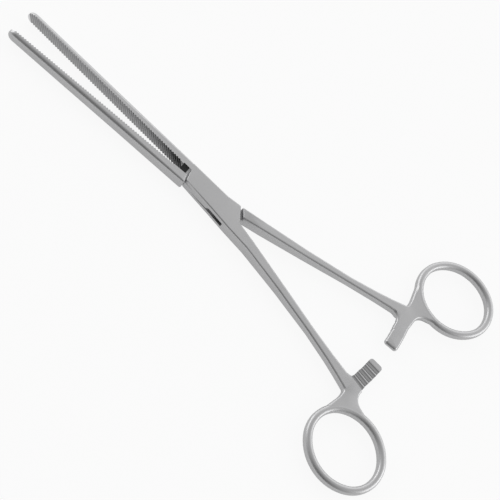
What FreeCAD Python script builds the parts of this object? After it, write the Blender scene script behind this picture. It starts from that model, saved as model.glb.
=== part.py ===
# Straight intestinal clamp with a box-lock joint.
# Two forged halves cross inside the box of the outer half and turn on one flush pin.
# Each half is drawn closed, with the jaw tips just touching, then both are opened a little.
# Origin: the pin's axis on the lower face of the box. X runs along the clamp, from the jaws
# to the finger rings, and Z is the pin's axis. All sizes are in millimetres and degrees.
import FreeCAD, Part
import math
import os
from FreeCAD import Placement, Rotation, Vector

# Lengths along the clamp, from the pin
JAW_LENGTH = 106.5
RING_CENTRE_X = 100.6
RING_CENTRE_Y = 38.15

# Thickness of the forging, along the pin
BOX_THICKNESS = 5.8
JAW_TIP_THICKNESS = 5.3
JAW_TAPER_LENGTH = 56.0
SHANK_THIN_THICKNESS = 3.9

# Jaws, in plan: the bite face leaves the middle line towards the root, and the back lies further out
JAW_TIP_HEIGHT = 2.15
JAW_ROOT_HEIGHT = 3.6
JAW_BACK_BOW = 0.1
BITE_ROOT_GAP = 0.42
JAW_CORNER_RADIUS = 1.6
JAW_ROOT_CORNER_RADIUS = 0.8
JAW_NOSE_LENGTH = 3.0
JAW_NOSE_HEIGHT_SHARE = 0.35
JAW_NOSE_SWEEP = 84.0
JAW_NOSE_STEPS = 6
JAW_ROOT_X = -17.0

# Serrations across the bite faces
TOOTH_PITCH = 1.22
TOOTH_DEPTH = 0.5
TOOTH_SLANT = -31.0
TOOTH_START = 0.9
TOOTH_LAND = 0.05
TOOTH_END_X = -21.4
RELIEF_DEPTH = 0.5
COMB_OVERRUN = 1.0

# Box: plates of the outer half, cut at both ends beside the shoulders of the inner half
PLATE_JAW_END = 16.45
PLATE_JAW_END_ANGLE = 197.0
PLATE_HANDLE_END = 8.4
PLATE_HANDLE_END_ANGLE = 36.0
SHOULDER_GAP_JAW = 0.2
SHOULDER_GAP_HANDLE = 0.75
SHOULDER_CHAMFER = 0.45
SHOULDER_CHAMFER_HEIGHT = 2.5
BOX_BACK_PIN = 4.4
BOX_BACK_HANDLE = 5.5
BOX_FRONT_JAW = 4.2
BOX_FRONT_PIN = 5.35
BOX_FRONT_HANDLE = 6.1
PLATE_EDGE_RADIUS = 0.6
PLATE_END_CHAMFER = 0.3
PLATE_NOTCH_Y = -0.8
PLATE_JAW_Y = 0.7
BOX_JAW_X = -18.5
BOX_SHANK_X = 20.0

# Tongue of the inner half and the pin
TONGUE_THICKNESS = 2.0
TONGUE_CLEARANCE = 0.05
TONGUE_BURIED = 1.0
TONGUE_BACK_JAW = 2.4
TONGUE_BACK_PIN = 4.6
TONGUE_BACK_PIN_X = -3.5
TONGUE_BACK_BEND = (5.5, -2.6)
TONGUE_BACK_HANDLE = 1.3
TONGUE_FACE_JAW = 1.0
TONGUE_FACE_PIN = 2.3
TONGUE_FACE_PIN_X = -2.3
TONGUE_FACE_HANDLE = 4.3
PIN_DIAMETER = 3.2
PIN_RUNNING_CLEARANCE = 0.03
WALL_CLEARANCE = 0.25
WINDOW_SHANK_END = 6.2
FULL_OPENING = 60.0

# Shanks
SHANK_ROOT_X = 11.0
SHANK_ROOT_Y = 3.14
SHANK_SLOPE = 0.1503
SHANK_SPREAD = 0.00052
SHANK_THIN_X = 60.0
OUTER_SHANK_ROOT_WIDTH = 5.0
OUTER_SHANK_THIN_WIDTH = 3.2
INNER_SHANK_ROOT_WIDTH = 4.2
INNER_SHANK_THIN_WIDTH = 2.9
INNER_SHANK_START_X = 6.0
SHANK_FLARE = 2.5
SHANK_CORNER_RADIUS = 0.85

# Finger rings
RING_LONG_RADIUS = 16.65
RING_SHORT_RADIUS = 14.95
RING_TURN = -11.2
RING_ARC_JOIN = 45.0
RING_WIDTH = 3.2
RING_THICKNESS = 4.1
RING_CORNER_RADIUS = 1.4
RING_CORNER_FLATS = 3

# Ratchet arm, on an arc about the pin, set back from the ring's centre
ARM_TO_RING = 11.95
ARM_WIDTH = 6.2
ARM_TIP_PAST_MIDDLE = 0.1
ARM_SLIDE_CLEARANCE = 0.06
ARM_CORNER_RADIUS = 1.3
ARM_EDGE_CHAMFER = 0.9
ARM_BURIED = 1.8
RATCHET_TEETH = 5
RATCHET_PITCH = 2.5
RATCHET_DEPTH = 0.75
RATCHET_TIP_LAND = 1.9
RATCHET_RAMP_SHARE = 0.8
RATCHET_WALL_SHARE = 0.1

# Neck between shank, ratchet arm and ring, in steps from the arm and from the ring's centre
NECK_THICKNESS = 3.9
NECK_EDGE_CHAMFER = 0.8
NECK_SHANK_OVERLAP = 7.5
NECK_CROTCH_RADIUS = 3.5
NECK_CROTCH_BACK = 0.9
NECK_HOLLOW_BACK = 0.4
NECK_STEP_GAP = 0.4
NECK_HOLLOW_DROP = 18.2
NECK_HOLLOW_RADIUS = 5.0
NECK_HEEL_DROP = 14.4
NECK_HEEL_RADIUS = 2.2
NECK_HEEL_BLEND = 6.0
NECK_RING_RIGHT = 97.0
NECK_RING_LEFT = 157.0
NECK_RING_INSET = 0.3

# Pose: how far each half is turned from the closed one
HALF_OPENING = 2.96

MIDDLE_Z = BOX_THICKNESS / 2
ARM_RADIUS = RING_CENTRE_X - ARM_TO_RING
ARM_INNER = ARM_RADIUS - ARM_WIDTH / 2
ARM_OUTER = ARM_RADIUS + ARM_WIDTH / 2
SHANK_END_X = ARM_INNER
PIECE_REACH = 2 * (JAW_LENGTH + RING_CENTRE_X)
UP = Vector(0, 0, 1)
CORNER_SHARE = 0.9
SMALL = 1e-4


def lerp(a, b, t):
    return a + (b - a) * t


def plan_prism(points, low, high):
    """Prism of a plan outline between two heights."""
    corners = [Vector(x, y, low) for x, y in points]
    wire = Part.makePolygon(corners + corners[:1])
    return Part.Face(wire).extrude(Vector(0, 0, high - low))


def rounded_prism(corners, low, high):
    """Prism of a plan outline whose corners are x, y and a radius, between two heights."""
    edges = []
    count = len(corners)
    stations = []
    for k in range(count):
        x, y, radius = corners[k]
        here = Vector(x, y, low)
        back = (Vector(*corners[k - 1][:2], low) - here).normalize()
        ahead = (Vector(*corners[(k + 1) % count][:2], low) - here).normalize()
        half = back.getAngle(ahead) / 2
        if radius == 0:
            stations.append((here, here, here))
            continue
        reach = radius / math.tan(half)
        bisector = (back + ahead).normalize()
        middle = here + bisector * (radius / math.sin(half) - radius)
        stations.append((here + back * reach, middle, here + ahead * reach))
    for k in range(count):
        start, middle, end = stations[k]
        if start != end:
            edges.append(Part.Arc(start, middle, end).toShape())
        edges.append(Part.makeLine(end, stations[(k + 1) % count][0]))
    return Part.Face(Part.Wire(edges)).extrude(Vector(0, 0, high - low))


def end_edges(shape, distance, angle, least_height):
    """Straight edges across a piece's end, on its upper and lower face."""
    normal = Vector(math.cos(math.radians(angle)), math.sin(math.radians(angle)), 0)
    found = []
    for edge in shape.Edges:
        points = [v.Point for v in edge.Vertexes]
        if len(points) != 2:
            continue
        on_plane = all(abs(point * normal - distance) < SMALL for point in points)
        outside = all(abs(point.z) > least_height for point in points)
        if on_plane and outside and points[0].z * points[1].z > 0:
            found.append(edge)
    return found


def rounded_section(centre, across, half_width, half_height, radius):
    """Rounded rectangle upright on the plan, with its width along the unit vector across."""
    r = min(radius, CORNER_SHARE * half_width, CORNER_SHARE * half_height)
    c = r * (1 - math.sqrt(0.5))

    def at(u, w):
        return centre + across * u + UP * w

    a, b = half_width, half_height
    edges = [
        Part.LineSegment(at(-a + r, -b), at(a - r, -b)),
        Part.Arc(at(a - r, -b), at(a - c, -b + c), at(a, -b + r)),
        Part.LineSegment(at(a, -b + r), at(a, b - r)),
        Part.Arc(at(a, b - r), at(a - c, b - c), at(a - r, b)),
        Part.LineSegment(at(a - r, b), at(-a + r, b)),
        Part.Arc(at(-a + r, b), at(-a + c, b - c), at(-a, b - r)),
        Part.LineSegment(at(-a, b - r), at(-a, -b + r)),
        Part.Arc(at(-a, -b + r), at(-a + c, -b + c), at(-a + r, -b)),
    ]
    return Part.Wire([e.toShape() for e in edges])


def jaw_section(x, face, back, half_height, radius):
    """Jaw section: a flat bite face towards the other jaw and rounded corners at the back."""
    r = min(radius, CORNER_SHARE * (back - face), CORNER_SHARE * half_height)
    c = r * (1 - math.sqrt(0.5))
    b = half_height
    edges = [
        Part.LineSegment(Vector(x, face, -b), Vector(x, back - r, -b)),
        Part.Arc(Vector(x, back - r, -b), Vector(x, back - c, -b + c), Vector(x, back, -b + r)),
        Part.LineSegment(Vector(x, back, -b + r), Vector(x, back, b - r)),
        Part.Arc(Vector(x, back, b - r), Vector(x, back - c, b - c), Vector(x, back - r, b)),
        Part.LineSegment(Vector(x, back - r, b), Vector(x, face, b)),
        Part.LineSegment(Vector(x, face, b), Vector(x, face, -b)),
    ]
    return Part.Wire([e.toShape() for e in edges])


def jaw_share(x):
    """How far along the jaw a place is: 0 at the tip and 1 at the root."""
    return (x + JAW_LENGTH) / (JAW_LENGTH + JAW_ROOT_X)


def bite_face_y(x):
    """Distance of the bite face from the middle line: the tips meet first."""
    return BITE_ROOT_GAP * jaw_share(x)


def jaw_back_y(x):
    t = jaw_share(x)
    height = lerp(JAW_TIP_HEIGHT, JAW_ROOT_HEIGHT, t) + JAW_BACK_BOW * 4 * t * (1 - t)
    return bite_face_y(x) + height


def jaw_half_thickness(x):
    t = min(1.0, (x + JAW_LENGTH) / JAW_TAPER_LENGTH)
    return lerp(JAW_TIP_THICKNESS, BOX_THICKNESS, t) / 2


def jaw_corner_radius(x):
    """Radius of the jaw's back corners, full over the slim part and smaller at the root."""
    t = min(1.0, (BOX_JAW_X - x) / (JAW_LENGTH + BOX_JAW_X - JAW_TAPER_LENGTH))
    return lerp(JAW_ROOT_CORNER_RADIUS, JAW_CORNER_RADIUS, max(0.0, t))


def jaw_bar():
    """Tapered bar of the jaw, with a rounded nose, on the +Y side."""
    nose_x = -JAW_LENGTH + JAW_NOSE_LENGTH
    buried = BOX_JAW_X + JAW_NOSE_LENGTH
    thick_x = -JAW_LENGTH + JAW_TAPER_LENGTH
    body = [jaw_section(x, bite_face_y(x), jaw_back_y(x), jaw_half_thickness(x), jaw_corner_radius(x))
            for x in (buried, BOX_JAW_X, thick_x, (thick_x + nose_x) / 2, nose_x)]
    bar = Part.makeLoft(body, True, True)
    nose = []
    for k in range(JAW_NOSE_STEPS):
        turn = math.radians(JAW_NOSE_SWEEP * k / (JAW_NOSE_STEPS - 1))
        x = nose_x - JAW_NOSE_LENGTH * math.sin(turn)
        shrink = math.cos(turn)
        height = ((jaw_back_y(nose_x) - bite_face_y(nose_x))
                  * lerp(JAW_NOSE_HEIGHT_SHARE, 1.0, shrink))
        face = bite_face_y(nose_x)
        nose.append(jaw_section(x, face, face + height, jaw_half_thickness(nose_x) * shrink,
                                JAW_CORNER_RADIUS * shrink))
    return bar.fuse(Part.makeLoft(nose, True, True))


def serration_comb(slant, shift):
    """Sawtooth prism that cuts the slanted serrations into a bite face, moved along by a shift."""
    lean = math.tan(math.radians(slant))
    reach = BOX_THICKNESS + COMB_OVERRUN
    first = -JAW_LENGTH + TOOTH_START + shift
    teeth = int((TOOTH_END_X - first) / TOOTH_PITCH)
    points = []
    for k in range(teeth):
        x = first + k * TOOTH_PITCH
        points.append((x, bite_face_y(x) - TOOTH_LAND))
        middle = x + TOOTH_PITCH / 2
        points.append((middle, bite_face_y(middle) + TOOTH_DEPTH))
    end = first + teeth * TOOTH_PITCH
    points += [(end, bite_face_y(end) - TOOTH_LAND), (end, -COMB_OVERRUN), (first, -COMB_OVERRUN)]
    start = -reach / 2 * lean
    corners = [Vector(x + start, y, -reach / 2) for x, y in points]
    comb = Part.Face(Part.makePolygon(corners + corners[:1]))
    return comb.extrude(Vector(reach * lean, 0, reach))


def root_relief():
    """Recess of the outer half's bite face between the last ridge and the box."""
    deep = bite_face_y(TOOTH_END_X) + RELIEF_DEPTH
    points = [(TOOTH_END_X, -COMB_OVERRUN),
              line_point(PLATE_JAW_END, PLATE_JAW_END_ANGLE, -COMB_OVERRUN),
              line_point(PLATE_JAW_END, PLATE_JAW_END_ANGLE, deep), (TOOTH_END_X, deep)]
    return plan_prism(points, -BOX_THICKNESS, BOX_THICKNESS)


def shank_y(x):
    """Middle line of a shank, on the side away from its own jaw."""
    run = x - SHANK_ROOT_X
    return -(SHANK_ROOT_Y + SHANK_SLOPE * run + SHANK_SPREAD * run * run)


def shank_half_width(x, root_width, thin_width):
    """Half the width of a shank, which tapers from the box and flares again at the neck."""
    root = max(0.0, (SHANK_THIN_X - x) / (SHANK_THIN_X - SHANK_ROOT_X))
    flare = max(0.0, (x - SHANK_THIN_X) / (SHANK_END_X - SHANK_THIN_X))
    return (lerp(thin_width, root_width, root * root) + SHANK_FLARE * flare * flare) / 2


def shank_thick_share(x):
    """How close the shank is to the box in thickness: 1 at the box and 0 where it is thin."""
    return min(1.0, max(0.0, (SHANK_THIN_X - x) / (SHANK_THIN_X - BOX_SHANK_X)))


def shank_half_thickness(x):
    return lerp(SHANK_THIN_THICKNESS, BOX_THICKNESS, shank_thick_share(x)) / 2


def shank_bar(start_x, root_width, thin_width):
    """Tapered shank from the box to the neck."""
    sections = []
    middle = (BOX_SHANK_X + SHANK_THIN_X) / 2
    flared = (SHANK_THIN_X + SHANK_END_X) / 2
    late = (flared + SHANK_END_X) / 2
    for x in (start_x, BOX_SHANK_X, middle, SHANK_THIN_X, flared, late, SHANK_END_X):
        thick = shank_half_thickness(x)
        radius = lerp(SHANK_CORNER_RADIUS, PLATE_EDGE_RADIUS, shank_thick_share(x))
        slope = -(SHANK_SLOPE + 2 * SHANK_SPREAD * (x - SHANK_ROOT_X))
        across = Vector(-slope, 1, 0).normalize()
        sections.append(rounded_section(Vector(x, shank_y(x), 0), across,
                                        shank_half_width(x, root_width, thin_width),
                                        thick, radius))
    return Part.makeLoft(sections, True, True)


def oval_arcs():
    """Four tangent arcs of the ring's oval, each a centre, a radius, a start angle and a sweep."""
    join = math.radians(RING_ARC_JOIN)
    offset = (RING_LONG_RADIUS - RING_SHORT_RADIUS) / (1 + math.tan(join) - 1 / math.cos(join))
    end_radius = RING_LONG_RADIUS - offset
    side_radius = end_radius + offset / math.cos(join)
    side_offset = offset * math.tan(join)
    end_sweep = 2 * RING_ARC_JOIN
    side_sweep = 180 - end_sweep
    return [(Vector(offset, 0, 0), end_radius, -RING_ARC_JOIN, end_sweep),
            (Vector(0, -side_offset, 0), side_radius, RING_ARC_JOIN, side_sweep),
            (Vector(-offset, 0, 0), end_radius, 180 - RING_ARC_JOIN, end_sweep),
            (Vector(0, side_offset, 0), side_radius, 180 + RING_ARC_JOIN, side_sweep)]


def ring_section(radius):
    """Section of the ring, with its rounding in short flats so that the ring stays light."""
    corner = RING_CORNER_RADIUS
    points = []
    for side_x, side_z, first in ((1, 1, 0), (-1, 1, 90), (-1, -1, 180), (1, -1, 270)):
        centre_x = side_x * (RING_WIDTH / 2 - corner)
        centre_z = side_z * (RING_THICKNESS / 2 - corner)
        for step in range(RING_CORNER_FLATS + 1):
            turn = math.radians(first + 90 * step / RING_CORNER_FLATS)
            points.append(Vector(radius + centre_x + corner * math.cos(turn), 0,
                                 centre_z + corner * math.sin(turn)))
    return Part.Face(Part.makePolygon(points + points[:1]))


def finger_ring():
    """Oval ring of four tangent arcs with a rounded section."""
    pieces = []
    for centre, radius, start, sweep in oval_arcs():
        piece = ring_section(radius).revolve(Vector(0, 0, 0), UP, sweep)
        piece.rotate(Vector(0, 0, 0), UP, start)
        piece.translate(centre)
        pieces.append(piece)
    ring = pieces[0].fuse(pieces[1:])
    ring.rotate(Vector(0, 0, 0), UP, RING_TURN)
    ring.translate(Vector(RING_CENTRE_X, -RING_CENTRE_Y, 0))
    return ring


def ring_line(angle):
    """Point of the ring's middle line, with its angle from +X in degrees."""
    t = math.radians(angle - RING_TURN)
    along_axis = RING_LONG_RADIUS * math.cos(t)
    aside = RING_SHORT_RADIUS * math.sin(t)
    turn = math.radians(RING_TURN)
    return (RING_CENTRE_X + along_axis * math.cos(turn) - aside * math.sin(turn),
            -RING_CENTRE_Y + along_axis * math.sin(turn) + aside * math.cos(turn))


def neck_plate(thin_width):
    """Flat neck that joins shank, arm and ring, with a hollow curve on each side."""
    start = SHANK_END_X - NECK_SHANK_OVERLAP
    half = shank_half_width(start, thin_width, thin_width)
    end_half = shank_half_width(SHANK_END_X, thin_width, thin_width)
    crotch_y = shank_y(ARM_INNER) + end_half
    arm_y = crotch_y + 2 * NECK_CROTCH_RADIUS
    ring_right = ring_line(NECK_RING_RIGHT)
    ring_left = ring_line(NECK_RING_LEFT)
    ring_step = (NECK_RING_LEFT - NECK_RING_RIGHT) / 3
    side = RING_WIDTH / 2 - NECK_RING_INSET
    corners = [
        (start, shank_y(start) + half, 0),
        (ARM_INNER - NECK_CROTCH_BACK, crotch_y, NECK_CROTCH_RADIUS),
        (ARM_INNER - NECK_CROTCH_BACK / 2, arm_y, 0),
        (ARM_OUTER - NECK_CROTCH_BACK, arm_y, 0),
        (ARM_OUTER - NECK_HOLLOW_BACK, -RING_CENTRE_Y + NECK_HOLLOW_DROP, NECK_HOLLOW_RADIUS),
        (ring_right[0], ring_right[1] + side, 0),
        (*ring_right, 0),
        (*ring_line(NECK_RING_RIGHT + ring_step), 0),
        (*ring_line(NECK_RING_RIGHT + 2 * ring_step), 0),
        (*ring_left, 0),
        (ring_left[0] - side, ring_left[1], 0),
        (SHANK_END_X, -RING_CENTRE_Y + NECK_HEEL_DROP, NECK_HEEL_BLEND),
        (SHANK_END_X, shank_y(SHANK_END_X) - end_half, NECK_HEEL_RADIUS),
        (start, shank_y(start) - half, 0),
    ]
    plate = rounded_prism(corners, -NECK_THICKNESS / 2, NECK_THICKNESS / 2)
    free = [e for e in plate.Edges
            if e.BoundBox.ZLength < SMALL and e.Curve.TypeId == "Part::GeomCircle"]
    return plate.makeChamfer(NECK_EDGE_CHAMFER, free).cut(arm_clearance())


def ratchet_lean(y):
    """Turn of a line across the arm at a height on its arc."""
    return math.degrees(math.asin(y / ARM_RADIUS))


def ratchet_end_y():
    """Height where the last ratchet tooth ends and the full neck begins."""
    return ARM_TIP_PAST_MIDDLE - RATCHET_TIP_LAND - RATCHET_TEETH * RATCHET_PITCH


def arm_clearance():
    """Room above the ratchet for the other half's arm, down to the step at the neck."""
    step_y = ratchet_end_y() - NECK_STEP_GAP
    block = Part.makeBox(2 * ARM_WIDTH, ARM_RADIUS, BOX_THICKNESS,
                         Vector(ARM_RADIUS - ARM_WIDTH, step_y, -ARM_SLIDE_CLEARANCE))
    block.rotate(Vector(ARM_RADIUS, step_y, 0), UP, ratchet_lean(step_y))
    return block


def ratchet_arm():
    """Arm on an arc about the pin, below the middle plane, with its teeth on top."""
    low = -NECK_THICKNESS / 2
    base_y = ratchet_end_y() - ARM_BURIED
    base_angle = ratchet_lean(base_y)
    section = Part.makePolygon([Vector(ARM_INNER, 0, low), Vector(ARM_OUTER, 0, low),
                                Vector(ARM_OUTER, 0, -ARM_SLIDE_CLEARANCE),
                                Vector(ARM_INNER, 0, -ARM_SLIDE_CLEARANCE),
                                Vector(ARM_INNER, 0, low)])
    bar = Part.Face(section).revolve(Vector(0, 0, 0), UP, ratchet_lean(ARM_TIP_PAST_MIDDLE) - base_angle)
    bar.rotate(Vector(0, 0, 0), UP, base_angle)
    tip = ARM_TIP_PAST_MIDDLE - RATCHET_TIP_LAND
    upright = [e for e in bar.Edges
               if e.BoundBox.ZLength > ARM_EDGE_CHAMFER and e.BoundBox.YMin > tip]
    bar = bar.makeFillet(ARM_CORNER_RADIUS, upright)
    lower = [e for e in bar.Edges if e.BoundBox.ZMax < low + SMALL and e.BoundBox.YMax > ratchet_end_y()]
    return bar.makeChamfer(ARM_EDGE_CHAMFER, lower)


def ratchet_grooves():
    """Sawtooth grooves: a steep wall towards the neck and a long ramp towards the tip."""
    top = -ARM_SLIDE_CLEARANCE
    above = top + RATCHET_DEPTH
    left = ARM_RADIUS - ARM_WIDTH
    grooves = []
    for k in range(RATCHET_TEETH):
        crest = ARM_TIP_PAST_MIDDLE - RATCHET_TIP_LAND - k * RATCHET_PITCH
        floor = crest - RATCHET_RAMP_SHARE * RATCHET_PITCH
        wall = floor - RATCHET_WALL_SHARE * RATCHET_PITCH
        points = [Vector(left, crest, above), Vector(left, crest, top),
                  Vector(left, floor, top - RATCHET_DEPTH), Vector(left, wall, top),
                  Vector(left, wall, above), Vector(left, crest, above)]
        groove = Part.Face(Part.makePolygon(points)).extrude(Vector(2 * ARM_WIDTH, 0, 0))
        groove.rotate(Vector(ARM_RADIUS, crest, 0), UP, ratchet_lean(crest - RATCHET_PITCH / 2))
        grooves.append(groove)
    return Part.makeCompound(grooves)


def half_plane(distance, angle):
    """Large block beyond an upright plane at a distance and an angle from the pin."""
    block = Part.makeBox(PIECE_REACH, 2 * PIECE_REACH, 2 * BOX_THICKNESS,
                         Vector(distance, -PIECE_REACH, -BOX_THICKNESS))
    block.rotate(Vector(0, 0, 0), UP, angle)
    return block


def line_point(distance, angle, y):
    """Point at height y on the plan line that lies at a distance and angle from the pin."""
    a = math.radians(angle)
    return ((distance - y * math.sin(a)) / math.cos(a), y)


def box_plates():
    """Outer shape of the box, with soft long edges and a chamfer across the plates' ends."""
    half = BOX_THICKNESS / 2
    shank_half = shank_half_width(BOX_SHANK_X, OUTER_SHANK_ROOT_WIDTH, OUTER_SHANK_THIN_WIDTH)
    front_end = shank_y(BOX_SHANK_X) - shank_half
    points = [(BOX_JAW_X, jaw_back_y(BOX_JAW_X)), (0.0, BOX_BACK_PIN),
              line_point(PLATE_HANDLE_END, PLATE_HANDLE_END_ANGLE, BOX_BACK_HANDLE),
              line_point(PLATE_HANDLE_END, PLATE_HANDLE_END_ANGLE, PLATE_NOTCH_Y),
              (BOX_SHANK_X, shank_y(BOX_SHANK_X)),
              (BOX_SHANK_X, front_end), (PLATE_HANDLE_END, -BOX_FRONT_HANDLE), (0.0, -BOX_FRONT_PIN),
              line_point(PLATE_JAW_END, PLATE_JAW_END_ANGLE, -BOX_FRONT_JAW),
              line_point(PLATE_JAW_END, PLATE_JAW_END_ANGLE, PLATE_JAW_Y), (BOX_JAW_X, PLATE_JAW_Y)]
    prism = plan_prism(points, -half, half)
    long_edges = []
    for e in prism.Edges:
        box = e.BoundBox
        back = box.YMin > jaw_back_y(BOX_JAW_X) - SMALL
        front = box.YMax < -BOX_FRONT_JAW + SMALL
        if box.ZLength < SMALL and (back or front) and box.XLength > BOX_THICKNESS:
            long_edges.append(e)
    prism = prism.makeFillet(PLATE_EDGE_RADIUS, long_edges)
    ends = (end_edges(prism, PLATE_JAW_END, PLATE_JAW_END_ANGLE, half - SMALL)
            + end_edges(prism, PLATE_HANDLE_END, PLATE_HANDLE_END_ANGLE, half - SMALL))
    return prism.makeChamfer(PLATE_END_CHAMFER, ends)


def tongue_points():
    """Plan of the inner half's tongue, drawn as that half lies in the closed clamp."""
    shoulder_jaw = PLATE_JAW_END + SHOULDER_GAP_JAW + TONGUE_BURIED
    shoulder_handle = PLATE_HANDLE_END + SHOULDER_GAP_HANDLE + TONGUE_BURIED
    return [line_point(shoulder_jaw, PLATE_JAW_END_ANGLE, -TONGUE_FACE_JAW),
            (TONGUE_FACE_PIN_X, TONGUE_FACE_PIN),
            line_point(shoulder_handle, PLATE_HANDLE_END_ANGLE, TONGUE_FACE_HANDLE),
            line_point(shoulder_handle, PLATE_HANDLE_END_ANGLE, TONGUE_BACK_HANDLE),
            TONGUE_BACK_BEND,
            (TONGUE_BACK_PIN_X, -TONGUE_BACK_PIN),
            line_point(shoulder_jaw, PLATE_JAW_END_ANGLE, -TONGUE_BACK_JAW)]


def offset_line(start, end, gap):
    """Line moved to its left by a gap, as a point and a direction."""
    dx, dy = end[0] - start[0], end[1] - start[1]
    length = math.hypot(dx, dy)
    return (start[0] - dy / length * gap, start[1] + dx / length * gap), (dx / length, dy / length)


def along(line, distance):
    (x, y), (dx, dy) = line
    return (x + dx * distance, y + dy * distance)


def meet(line_a, line_b):
    """Crossing point of two lines."""
    (xa, ya), (ua, va) = line_a
    (xb, yb), (ub, vb) = line_b
    t = ((xb - xa) * vb - (yb - ya) * ub) / (ua * vb - va * ub)
    return along(line_a, t)


def turned(point, angle):
    a = math.radians(angle)
    x, y = point
    return (x * math.cos(a) - y * math.sin(a), x * math.sin(a) + y * math.cos(a))


def window():
    """Slot through the box for the tongue, from the closed clamp to the full opening."""
    face_jaw, face_pin, face_handle, back_handle, back_bend = tongue_points()[:5]
    reach = JAW_LENGTH
    closed_wall = offset_line(face_jaw, face_pin, WALL_CLEARANCE)
    open_wall = offset_line(turned(face_pin, FULL_OPENING), turned(face_handle, FULL_OPENING),
                            WALL_CLEARANCE)
    shank_wall = offset_line(back_handle, back_bend, WALL_CLEARANCE)
    far_left = along(closed_wall, -reach)
    apex = meet(closed_wall, open_wall)
    far_up = along(open_wall, reach)
    edge = meet(shank_wall, ((WINDOW_SHANK_END, 0.0), (0.0, 1.0)))
    right = along(shank_wall, 0.0)
    points = [far_left, apex, far_up, (reach, far_up[1]), (reach, right[1]), right, edge,
              (WINDOW_SHANK_END, -reach), (far_left[0], -reach)]
    half = TONGUE_THICKNESS / 2 + TONGUE_CLEARANCE
    return plan_prism(points, -half, half)


def handle(root_x, root_width, thin_width):
    """Shank, neck, ratchet arm and finger ring of one half."""
    shank = shank_bar(root_x, root_width, thin_width)
    return shank.fuse([finger_ring(), neck_plate(thin_width), ratchet_arm()]).cut(ratchet_grooves())


def outer_half():
    """Half with the box, as it lies in the closed clamp, about the middle plane."""
    grip = handle(SHANK_ROOT_X, OUTER_SHANK_ROOT_WIDTH, OUTER_SHANK_THIN_WIDTH)
    body = jaw_bar().fuse([grip, box_plates()])
    body = body.cut(window())
    body = body.cut(root_relief()).cut(serration_comb(TOOTH_SLANT, 0.0))
    hole = Part.makeCylinder(PIN_DIAMETER / 2, 2 * BOX_THICKNESS, Vector(0, 0, -BOX_THICKNESS))
    return body.cut(hole)


def inner_half():
    """Half with the tongue, as it lies in the closed clamp, about the middle plane.

    It is turned over, so its ridges lean the other way here and lie half a pitch along:
    in the closed clamp they fall between the ridges of the outer half.
    """
    jaw = jaw_bar().cut(serration_comb(-TOOTH_SLANT, TOOTH_PITCH / 2))
    grip = handle(INNER_SHANK_START_X, INNER_SHANK_ROOT_WIDTH, INNER_SHANK_THIN_WIDTH)
    for shape in (jaw, grip):
        shape.rotate(Vector(0, 0, 0), Vector(1, 0, 0), 180)
    jaw_shoulder = PLATE_JAW_END + SHOULDER_GAP_JAW
    grip_shoulder = PLATE_HANDLE_END + SHOULDER_GAP_HANDLE
    jaw = jaw.common(half_plane(jaw_shoulder, PLATE_JAW_END_ANGLE))
    grip = grip.common(half_plane(grip_shoulder, PLATE_HANDLE_END_ANGLE))
    jaw = jaw.makeChamfer(SHOULDER_CHAMFER, end_edges(jaw, jaw_shoulder, PLATE_JAW_END_ANGLE,
                                                      SHOULDER_CHAMFER_HEIGHT))
    grip = grip.makeChamfer(SHOULDER_CHAMFER, end_edges(grip, grip_shoulder, PLATE_HANDLE_END_ANGLE,
                                                        SHOULDER_CHAMFER_HEIGHT))
    tongue = plan_prism(tongue_points(), -TONGUE_THICKNESS / 2, TONGUE_THICKNESS / 2)
    body = tongue.fuse([jaw, grip])
    hole = Part.makeCylinder(PIN_DIAMETER / 2 + PIN_RUNNING_CLEARANCE, 2 * BOX_THICKNESS,
                             Vector(0, 0, -BOX_THICKNESS))
    return body.cut(hole)


def lock_pin():
    """Flush pin, tight in both plates of the box."""
    return Part.makeCylinder(PIN_DIAMETER / 2, BOX_THICKNESS, Vector(0, 0, -MIDDLE_Z))


def place(shape, turn):
    """Turn a half about the pin and lift the clamp onto its lower face."""
    placed = shape.copy()
    placed.rotate(Vector(0, 0, 0), UP, turn)
    placed.translate(Vector(0, 0, MIDDLE_Z))
    return placed


def main():
    os.makedirs("parts", exist_ok=True)
    pieces = {
        "female_half": place(outer_half(), -HALF_OPENING),
        "male_half": place(inner_half(), HALF_OPENING),
        "lock_pin": place(lock_pin(), 0.0),
    }
    for name, shape in pieces.items():
        solids = shape.Solids
        print(name, "solids", len(solids), "valid", shape.isValid(), "volume", round(shape.Volume, 1))
        solid = solids[0] if len(solids) == 1 else shape
        solid.exportStep("parts/" + name + ".step")


main()
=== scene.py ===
import math

import bmesh
import bpy
from mathutils import Matrix, Vector


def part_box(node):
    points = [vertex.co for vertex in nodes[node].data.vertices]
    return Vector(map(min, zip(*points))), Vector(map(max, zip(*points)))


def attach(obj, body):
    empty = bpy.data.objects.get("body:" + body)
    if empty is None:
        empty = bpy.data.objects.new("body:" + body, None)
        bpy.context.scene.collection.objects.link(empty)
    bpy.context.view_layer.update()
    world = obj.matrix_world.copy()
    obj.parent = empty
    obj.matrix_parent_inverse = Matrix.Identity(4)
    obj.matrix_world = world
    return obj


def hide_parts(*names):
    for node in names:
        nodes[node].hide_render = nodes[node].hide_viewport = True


# A straight intestinal clamp on a white table. Lengths are in metres and angles in radians.

# The view: how far off the pin's middle is, at what tilt, turn and roll, and where it lies in the image
IMAGE_SIDE = 500.0
PIN_IN_IMAGE = (218.94, 205.17)
VIEW_DEPTH = 0.5675
VIEW_TILT = math.radians(32.006)
VIEW_AZIMUTH = math.radians(-93.877)
VIEW_ROLL = math.radians(45.688)
FOCAL_PIXELS = 1433.0
SENSOR_WIDTH = 36.0
NEAREST_SEEN = 0.01
FARTHEST_SEEN = 100.0

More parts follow.
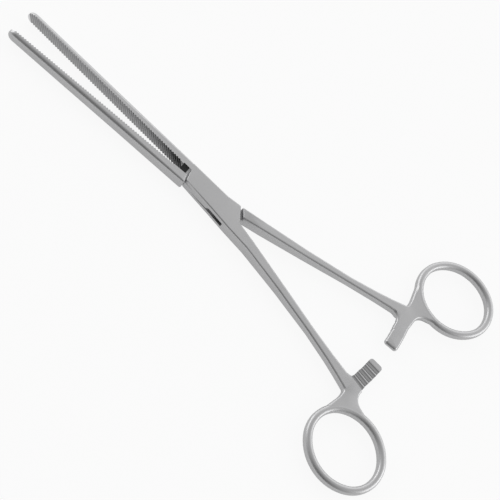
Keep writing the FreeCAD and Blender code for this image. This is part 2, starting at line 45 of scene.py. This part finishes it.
# Milled places of a half, measured as it lies in the closed clamp with its jaw on the +Y side
HALF_OPENING = math.radians(2.96)
RIDGES_START = -0.1065
RIDGES_END = -0.0210
POCKET_END = -0.0183
BITE_AT_TIP = 0.0007
BITE_SLOPE = 0.0047
BITE_FACING = 0.3
CREST_STEP = 0.0025
RIDGE_DEPTH = 0.0005
# Where the painted shade toward the jaw root begins, where the jaws shade each other
ROOT_PAINTED_SHADE_FROM = -0.062
ARM_INNER = 0.0854
ARM_OUTER = 0.0919
RATCHET_START = -0.0145
RATCHET_END = -0.0017
RATCHET_HEIGHT_LIMIT = 0.0001
RATCHET_FACING = 0.1
ARM_CREST = -0.00006
RATCHET_DEPTH = 0.00075

# Polishing of the forged halves: a flat's weight is its area, and small flats count as the least one
MERGE_DISTANCE = 2e-6
FLAT_ANGLE = math.radians(1)
LEAST_FLAT = 2e-5
SOFT_ANGLE = math.radians(50)
MILLED_ANGLE = math.radians(12)

# Finish of the steel
STEEL_COLOUR = (0.54, 0.54, 0.545)
STEEL_ROUGHNESS = 0.36
GRAINS_PER_METRE = 6000.0
GRAIN_DETAIL = 2.0
GRAIN_STRENGTH = 0.25
GRAIN_DEPTH = 0.00001
CLOUDS_PER_METRE = 90.0
CLOUD_DETAIL = 3.0
CLOUD_MIDDLE = 0.5
CLOUDING = 0.04
CLOUD_BRIGHTNESS = 2.0

# Painted shade of each milled place: how much darker it is, as a share, where less than nothing is
# brighter, a painted highlight
TIP_FLANK_PAINTED_HIGHLIGHTS = (-0.5, -0.1)
BOX_FLANK_PAINTED_SHADES = (0.05, 0.45)
ROOT_PAINTED_SHADE = 0.75
ROOT_PAINTED_SHADE_POWER = 4
POCKET_PAINTED_SHADE = 0.95
RATCHET_PAINTED_HIGHLIGHT = -0.35

# Further painted shade of the ratchet, light at the crests with dark bands down each tooth: the share of
# the way down a tooth, and the painted shade there
RATCHET_PAINTED_SHADES = ((0.0, 0.0), (0.1, 0.05), (0.22, 0.85), (0.42, 0.3),
                  (0.68, 0.25), (0.86, 0.9), (1.0, 0.7))

# Surroundings, as brightness seen in a mirror, and between which slopes of sight each part of it rises
DARK_SIDE = 0.18
OVERHEAD = 0.33
OVERHEAD_RISE = (-0.75, 0.25)
FAR_SIDE = 0.75
FAR_SIDE_RISE = (0.35, 0.95)
END_GLOW = 0.35
END_GLOW_RISE = (0.05, 0.9)

# Lamps, one at each end of the clamp
LAMP_PLACE = (0.95, 0.25, 0.25)
LAMP_SIZE = 0.9
LAMP_POWER = 2.1

# Table: how much of its glow the eye and the steel see, just below the clamp so that no faces meet
WHITE = (1.0, 1.0, 1.0, 1.0)
TABLE_COLOUR = (0.86, 0.86, 0.86, 1.0)
TABLE_WHITE = 0.9
TABLE_SHEEN = 0.55
TABLE_LEVEL = -0.00005
TABLE_REACH = 30.0

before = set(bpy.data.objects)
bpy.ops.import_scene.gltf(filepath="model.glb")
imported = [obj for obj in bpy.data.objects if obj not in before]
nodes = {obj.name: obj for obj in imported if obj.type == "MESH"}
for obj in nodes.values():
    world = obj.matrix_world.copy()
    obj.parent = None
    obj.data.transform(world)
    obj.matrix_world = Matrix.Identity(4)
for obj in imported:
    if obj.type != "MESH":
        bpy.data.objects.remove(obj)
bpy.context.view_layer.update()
box_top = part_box("lock_pin")[1].z


def new_material(name):
    """Material with an empty node tree."""
    material = bpy.data.materials.new(name)
    material.use_nodes = True
    material.node_tree.nodes.clear()
    return material


def add_node(tree, kind, **values):
    """Node of a kind, with its settings and the values of its sockets."""
    node = tree.nodes.new(kind)
    for name, value in values.items():
        if hasattr(node, name):
            setattr(node, name, value)
        else:
            node.inputs[name.replace("_", " ")].default_value = value
    return node


def maths(tree, operation, first, second=0.0):
    """Math node of one or two numbers or sockets; gives its output."""
    node = tree.nodes.new("ShaderNodeMath")
    node.operation = operation
    for socket, value in zip(node.inputs, (first, second)):
        if isinstance(value, (int, float)):
            socket.default_value = value
        else:
            tree.links.new(value, socket)
    return node.outputs["Value"]


def place_camera():
    """Camera at the distance and in the direction from which the pin lands on its place in the image."""
    back = Vector((math.sin(VIEW_TILT) * math.cos(VIEW_AZIMUTH),
                   math.sin(VIEW_TILT) * math.sin(VIEW_AZIMUTH), math.cos(VIEW_TILT)))
    up = Vector((-math.cos(VIEW_TILT) * math.cos(VIEW_AZIMUTH),
                 -math.cos(VIEW_TILT) * math.sin(VIEW_AZIMUTH), math.sin(VIEW_TILT)))
    right = up.cross(back)
    x_axis = right * math.cos(VIEW_ROLL) + up * math.sin(VIEW_ROLL)
    y_axis = -right * math.sin(VIEW_ROLL) + up * math.cos(VIEW_ROLL)
    aside = (PIN_IN_IMAGE[0] - IMAGE_SIDE / 2) / FOCAL_PIXELS * VIEW_DEPTH
    above = -(PIN_IN_IMAGE[1] - IMAGE_SIDE / 2) / FOCAL_PIXELS * VIEW_DEPTH
    pin_middle = Vector((0.0, 0.0, box_top / 2))
    place = pin_middle - (x_axis * aside + y_axis * above - back * VIEW_DEPTH)
    data = bpy.data.cameras.new("camera")
    data.sensor_fit = "HORIZONTAL"
    data.sensor_width = SENSOR_WIDTH
    data.lens = FOCAL_PIXELS / IMAGE_SIDE * SENSOR_WIDTH
    data.clip_start = NEAREST_SEEN
    data.clip_end = FARTHEST_SEEN
    camera = bpy.data.objects.new("camera", data)
    turn = Matrix((x_axis, y_axis, back)).transposed().to_4x4()
    camera.matrix_world = Matrix.Translation(place) @ turn
    bpy.context.scene.collection.objects.link(camera)
    bpy.context.scene.camera = camera


def satin_finish_group():
    """Fine grain and soft clouding of the finish, darker by the painted shade of the milled places and
    lighter by their painted highlights.
    """
    group = bpy.data.node_groups.new("satin finish", "ShaderNodeTree")
    for name, kind, value in (("Colour", "NodeSocketColor", (*STEEL_COLOUR, 1.0)),
                              ("Shade", "NodeSocketFloat", 0.0),
                              ("Roughness", "NodeSocketFloat", STEEL_ROUGHNESS),
                              ("Grain Size", "NodeSocketFloat", GRAINS_PER_METRE),
                              ("Clouding", "NodeSocketFloat", CLOUDING)):
        group.interface.new_socket(name, in_out="INPUT", socket_type=kind).default_value = value
    group.interface.new_socket("Colour", in_out="OUTPUT", socket_type="NodeSocketColor")
    group.interface.new_socket("Roughness", in_out="OUTPUT", socket_type="NodeSocketFloat")
    group.interface.new_socket("Height", in_out="OUTPUT", socket_type="NodeSocketFloat")
    given = group.nodes.new("NodeGroupInput")
    result = group.nodes.new("NodeGroupOutput")
    place = group.nodes.new("ShaderNodeTexCoord")
    grain = add_node(group, "ShaderNodeTexNoise", Detail=GRAIN_DETAIL)
    group.links.new(place.outputs["Object"], grain.inputs["Vector"])
    group.links.new(given.outputs["Grain Size"], grain.inputs["Scale"])
    cloud = add_node(group, "ShaderNodeTexNoise", Scale=CLOUDS_PER_METRE, Detail=CLOUD_DETAIL)
    group.links.new(place.outputs["Object"], cloud.inputs["Vector"])
    centred = maths(group, "SUBTRACT", cloud.outputs["Fac"], CLOUD_MIDDLE)
    drift = maths(group, "MULTIPLY", centred, given.outputs["Clouding"])
    brighter = maths(group, "ADD", maths(group, "MULTIPLY", drift, CLOUD_BRIGHTNESS), 1.0)
    light = maths(group, "SUBTRACT", 1.0, given.outputs["Shade"])
    toned = group.nodes.new("ShaderNodeVectorMath")
    toned.operation = "SCALE"
    group.links.new(given.outputs["Colour"], toned.inputs["Vector"])
    group.links.new(maths(group, "MULTIPLY", brighter, light), toned.inputs["Scale"])
    group.links.new(toned.outputs["Vector"], result.inputs["Colour"])
    group.links.new(maths(group, "ADD", given.outputs["Roughness"], drift), result.inputs["Roughness"])
    group.links.new(grain.outputs["Fac"], result.inputs["Height"])
    return group


def satin_steel():
    """Satin stainless steel, with painted shade and painted highlights on the milled places and painted
    shade down the depth of the ratchet teeth.
    """
    material = new_material("satin steel")
    tree = material.node_tree
    output = tree.nodes.new("ShaderNodeOutputMaterial")
    shader = add_node(tree, "ShaderNodeBsdfPrincipled", Metallic=1.0)
    finish = tree.nodes.new("ShaderNodeGroup")
    finish.node_tree = satin_finish_group()
    finish.inputs["Colour"].default_value = (*STEEL_COLOUR, 1.0)
    finish.inputs["Roughness"].default_value = STEEL_ROUGHNESS
    finish.inputs["Grain Size"].default_value = GRAINS_PER_METRE
    finish.inputs["Clouding"].default_value = CLOUDING
    # Painted shade and painted highlights of the milled places, and the ratchet's further painted shade
    # by tooth depth
    milled = add_node(tree, "ShaderNodeAttribute", attribute_name="painted_shade_and_highlight")
    depth = add_node(tree, "ShaderNodeAttribute", attribute_name="tooth_depth")
    ramp = tree.nodes.new("ShaderNodeValToRGB")
    stops = ramp.color_ramp.elements
    for place, _ in RATCHET_PAINTED_SHADES[1:-1]:
        stops.new(place)
    for stop, (place, shade) in zip(stops, RATCHET_PAINTED_SHADES):
        stop.position = place
        stop.color = (shade, shade, shade, 1.0)
    tree.links.new(depth.outputs["Fac"], ramp.inputs["Fac"])
    bump = add_node(tree, "ShaderNodeBump", Strength=GRAIN_STRENGTH, Distance=GRAIN_DEPTH)
    both_shades = maths(tree, "ADD", milled.outputs["Fac"], ramp.outputs["Color"])
    tree.links.new(both_shades, finish.inputs["Shade"])
    tree.links.new(finish.outputs["Height"], bump.inputs["Height"])
    tree.links.new(finish.outputs["Colour"], shader.inputs["Base Color"])
    tree.links.new(finish.outputs["Roughness"], shader.inputs["Roughness"])
    tree.links.new(bump.outputs["Normal"], shader.inputs["Normal"])
    tree.links.new(shader.outputs["BSDF"], output.inputs["Surface"])
    return material


def in_closed_clamp(point, side):
    """A point of a half as it lies in the closed clamp, with its own jaw on the +Y side.

    The side is 1 for the female half and -1 for the male half, which is turned over for this.
    """
    turned = Matrix.Rotation(side * HALF_OPENING, 3, "Z") @ Vector(point)
    return Vector((turned.x, side * turned.y, side * (turned.z - box_top / 2)))


def milled_place(face, side):
    """The milled place that a face belongs to: ridges, pocket or ratchet, or none."""
    middle = in_closed_clamp(face.calc_center_median(), side)
    bite = BITE_AT_TIP + BITE_SLOPE * (middle.x - RIDGES_START)
    if middle.y < bite and side * face.normal.y < -BITE_FACING:
        if RIDGES_START < middle.x < RIDGES_END:
            return "ridges"
        if RIDGES_END < middle.x < POCKET_END:
            return "pocket"
    distance = math.hypot(middle.x, middle.y)
    on_arm = ARM_INNER < distance < ARM_OUTER and RATCHET_START < middle.y < RATCHET_END
    if on_arm and middle.z < RATCHET_HEIGHT_LIMIT and side * face.normal.z > RATCHET_FACING:
        return "ratchet"
    return None


def flat_areas(forging):
    """Area of the flat patch that each face lies in."""
    areas = {}
    for start in forging.faces:
        if start in areas:
            continue
        patch = {start}
        waiting = [start]
        while waiting:
            face = waiting.pop()
            for edge in face.edges:
                for other in edge.link_faces:
                    known = other in patch or other in areas
                    if not known and other.normal.angle(start.normal, math.pi) < FLAT_ANGLE:
                        patch.add(other)
                        waiting.append(other)
        area = sum(face.calc_area() for face in patch)
        for face in patch:
            areas[face] = area
    return areas


def soft_normals(forging, places):
    """Normal of each face corner: level on flats, turning over the rounded edges, crisp at the teeth."""
    areas = flat_areas(forging)
    normals = []
    for face in forging.faces:
        for corner in face.loops:
            total = Vector()
            for neighbour in corner.vert.link_loops:
                other = neighbour.face
                limit = MILLED_ANGLE if places[face] or places[other] else SOFT_ANGLE
                if other.normal.angle(face.normal, math.pi) < limit:
                    total += other.normal * neighbour.calc_angle() * max(areas[other], LEAST_FLAT)
            normals.append(total.normalized() if total.length > 0 else face.normal.copy())
    return normals


def milled_values(forging, places, side):
    """Painted shade of each face corner on the milled places, where less than nothing is a painted
    highlight, and how far it lies down a ratchet tooth.
    """
    crests = {}
    for face, place in places.items():
        if place == "ridges":
            for vertex in face.verts:
                point = in_closed_clamp(vertex.co, side)
                step = round(point.x / CREST_STEP)
                crests[step] = min(crests.get(step, point.y), point.y)
    shades = []
    depths = []
    for face in forging.faces:
        # Painted light on the ridges: flanks that face the tip get a painted highlight and flanks that
        # face the box painted shade, lighter at the crests and darker down the valleys
        at_crest, at_bottom = TIP_FLANK_PAINTED_HIGHLIGHTS if face.normal.x < 0 else BOX_FLANK_PAINTED_SHADES
        for corner in face.loops:
            point = in_closed_clamp(corner.vert.co, side)
            shade = 0.0
            depth = 0.0
            if places[face] == "ridges":
                down = (point.y - crests[round(point.x / CREST_STEP)]) / RIDGE_DEPTH
                to_root = max(0.0, (point.x - ROOT_PAINTED_SHADE_FROM) / (RIDGES_END - ROOT_PAINTED_SHADE_FROM))
                shade = at_crest + (at_bottom - at_crest) * min(down, 1.0)
                # Painted shade that deepens toward the jaw root, where the other jaw shades the ridges
                shade += ROOT_PAINTED_SHADE * to_root ** ROOT_PAINTED_SHADE_POWER
            elif places[face] == "pocket":
                # Painted shade: the pocket past the last ridge is made nearly black
                shade = POCKET_PAINTED_SHADE
            elif places[face] == "ratchet":
                # Painted highlight over the whole ratchet, less the painted shade by tooth depth that
                # the material adds
                shade = RATCHET_PAINTED_HIGHLIGHT
                depth = (ARM_CREST - point.z) / RATCHET_DEPTH
            shades.append(min(shade, POCKET_PAINTED_SHADE))
            depths.append(min(max(depth, 0.0), 1.0))
    return {"painted_shade_and_highlight": shades, "tooth_depth": depths}


def polished_half(node_name, body, side, surface):
    """Forged half with soft shading over its rounded edges and crisp milled teeth."""
    mesh = nodes[node_name].data.copy()
    mesh.name = "polished_" + node_name
    forging = bmesh.new()
    forging.from_mesh(mesh)
    bmesh.ops.remove_doubles(forging, verts=forging.verts, dist=MERGE_DISTANCE)
    forging.normal_update()
    for face in forging.faces:
        face.smooth = True
    places = {face: milled_place(face, side) for face in forging.faces}
    normals = soft_normals(forging, places)
    # Painted shade and painted highlights of the milled places, kept on the face corners
    attributes = milled_values(forging, places, side)
    forging.to_mesh(mesh)
    forging.free()
    mesh.normals_split_custom_set(normals)
    for name, values in attributes.items():
        mesh.attributes.new(name, "FLOAT", "CORNER").data.foreach_set("value", values)
    mesh.materials.clear()
    mesh.materials.append(surface)
    piece = bpy.data.objects.new("polished_" + node_name, mesh)
    bpy.context.scene.collection.objects.link(piece)
    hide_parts(node_name)
    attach(piece, body)


def white_table():
    """Table that shows plain white, with a light shadow of the clamp."""
    mesh = bpy.data.meshes.new("table")
    corners = [(-TABLE_REACH, -TABLE_REACH, TABLE_LEVEL), (TABLE_REACH, -TABLE_REACH, TABLE_LEVEL),
               (TABLE_REACH, TABLE_REACH, TABLE_LEVEL), (-TABLE_REACH, TABLE_REACH, TABLE_LEVEL)]
    mesh.from_pydata(corners, [], [(0, 1, 2, 3)])
    table = bpy.data.objects.new("table", mesh)
    bpy.context.scene.collection.objects.link(table)
    material = new_material("white table")
    tree = material.node_tree
    output = tree.nodes.new("ShaderNodeOutputMaterial")
    mix = tree.nodes.new("ShaderNodeMixShader")
    matt = add_node(tree, "ShaderNodeBsdfDiffuse", Color=TABLE_COLOUR)
    glow = add_node(tree, "ShaderNodeEmission", Color=WHITE, Strength=1.0)
    rays = tree.nodes.new("ShaderNodeLightPath")
    seen = maths(tree, "MULTIPLY", rays.outputs["Is Camera Ray"], TABLE_WHITE)
    bounced = maths(tree, "MAXIMUM", rays.outputs["Is Glossy Ray"], rays.outputs["Is Transmission Ray"])
    mirrored = maths(tree, "MULTIPLY", bounced, TABLE_SHEEN)
    tree.links.new(maths(tree, "MAXIMUM", seen, mirrored), mix.inputs["Fac"])
    tree.links.new(matt.outputs["BSDF"], mix.inputs[1])
    tree.links.new(glow.outputs["Emission"], mix.inputs[2])
    tree.links.new(mix.outputs["Shader"], output.inputs["Surface"])
    mesh.materials.append(material)


def studio_surroundings():
    """Surroundings that brighten from the viewer's side to the far side, and towards both ends."""
    world = bpy.data.worlds.new("studio")
    world.use_nodes = True
    tree = world.node_tree
    tree.nodes.clear()
    output = tree.nodes.new("ShaderNodeOutputWorld")
    direction = tree.nodes.new("ShaderNodeTexCoord")
    split = tree.nodes.new("ShaderNodeSeparateXYZ")
    tree.links.new(direction.outputs["Generated"], split.inputs["Vector"])

    def rise(value, slopes, amount):
        """Brightness that rises smoothly from nothing to an amount between two slopes."""
        ramp = add_node(tree, "ShaderNodeMapRange", interpolation_type="SMOOTHSTEP",
                        From_Min=slopes[0], From_Max=slopes[1], To_Max=amount)
        tree.links.new(value, ramp.inputs["Value"])
        return ramp.outputs["Result"]

    overhead = rise(split.outputs["Y"], OVERHEAD_RISE, OVERHEAD)
    far_side = rise(split.outputs["Y"], FAR_SIDE_RISE, FAR_SIDE)
    ends = rise(maths(tree, "ABSOLUTE", split.outputs["X"]), END_GLOW_RISE, END_GLOW)
    above = maths(tree, "ADD", overhead, far_side)
    total = maths(tree, "ADD", above, maths(tree, "ADD", ends, DARK_SIDE))
    glow = add_node(tree, "ShaderNodeBackground", Color=WHITE)
    tree.links.new(total, glow.inputs["Strength"])
    tree.links.new(glow.outputs["Background"], output.inputs["Surface"])
    bpy.context.scene.world = world


def soft_lamp(name, place):
    """Round lamp that faces the clamp."""
    data = bpy.data.lights.new(name, "AREA")
    data.shape = "DISK"
    data.size = LAMP_SIZE
    data.energy = LAMP_POWER
    lamp = bpy.data.objects.new(name, data)
    lamp.location = place
    lamp.rotation_euler = (-Vector(place)).to_track_quat("-Z", "Y").to_euler()
    bpy.context.scene.collection.objects.link(lamp)


place_camera()
steel = satin_steel()
for node in nodes.values():
    node.data.materials.clear()
    node.data.materials.append(steel)
polished_half("female_half", "outer_half", 1, steel)
polished_half("male_half", "inner_half", -1, steel)
white_table()
studio_surroundings()
soft_lamp("left lamp", (-LAMP_PLACE[0], *LAMP_PLACE[1:]))
soft_lamp("right lamp", LAMP_PLACE)
bpy.context.scene.view_settings.view_transform = "Standard"
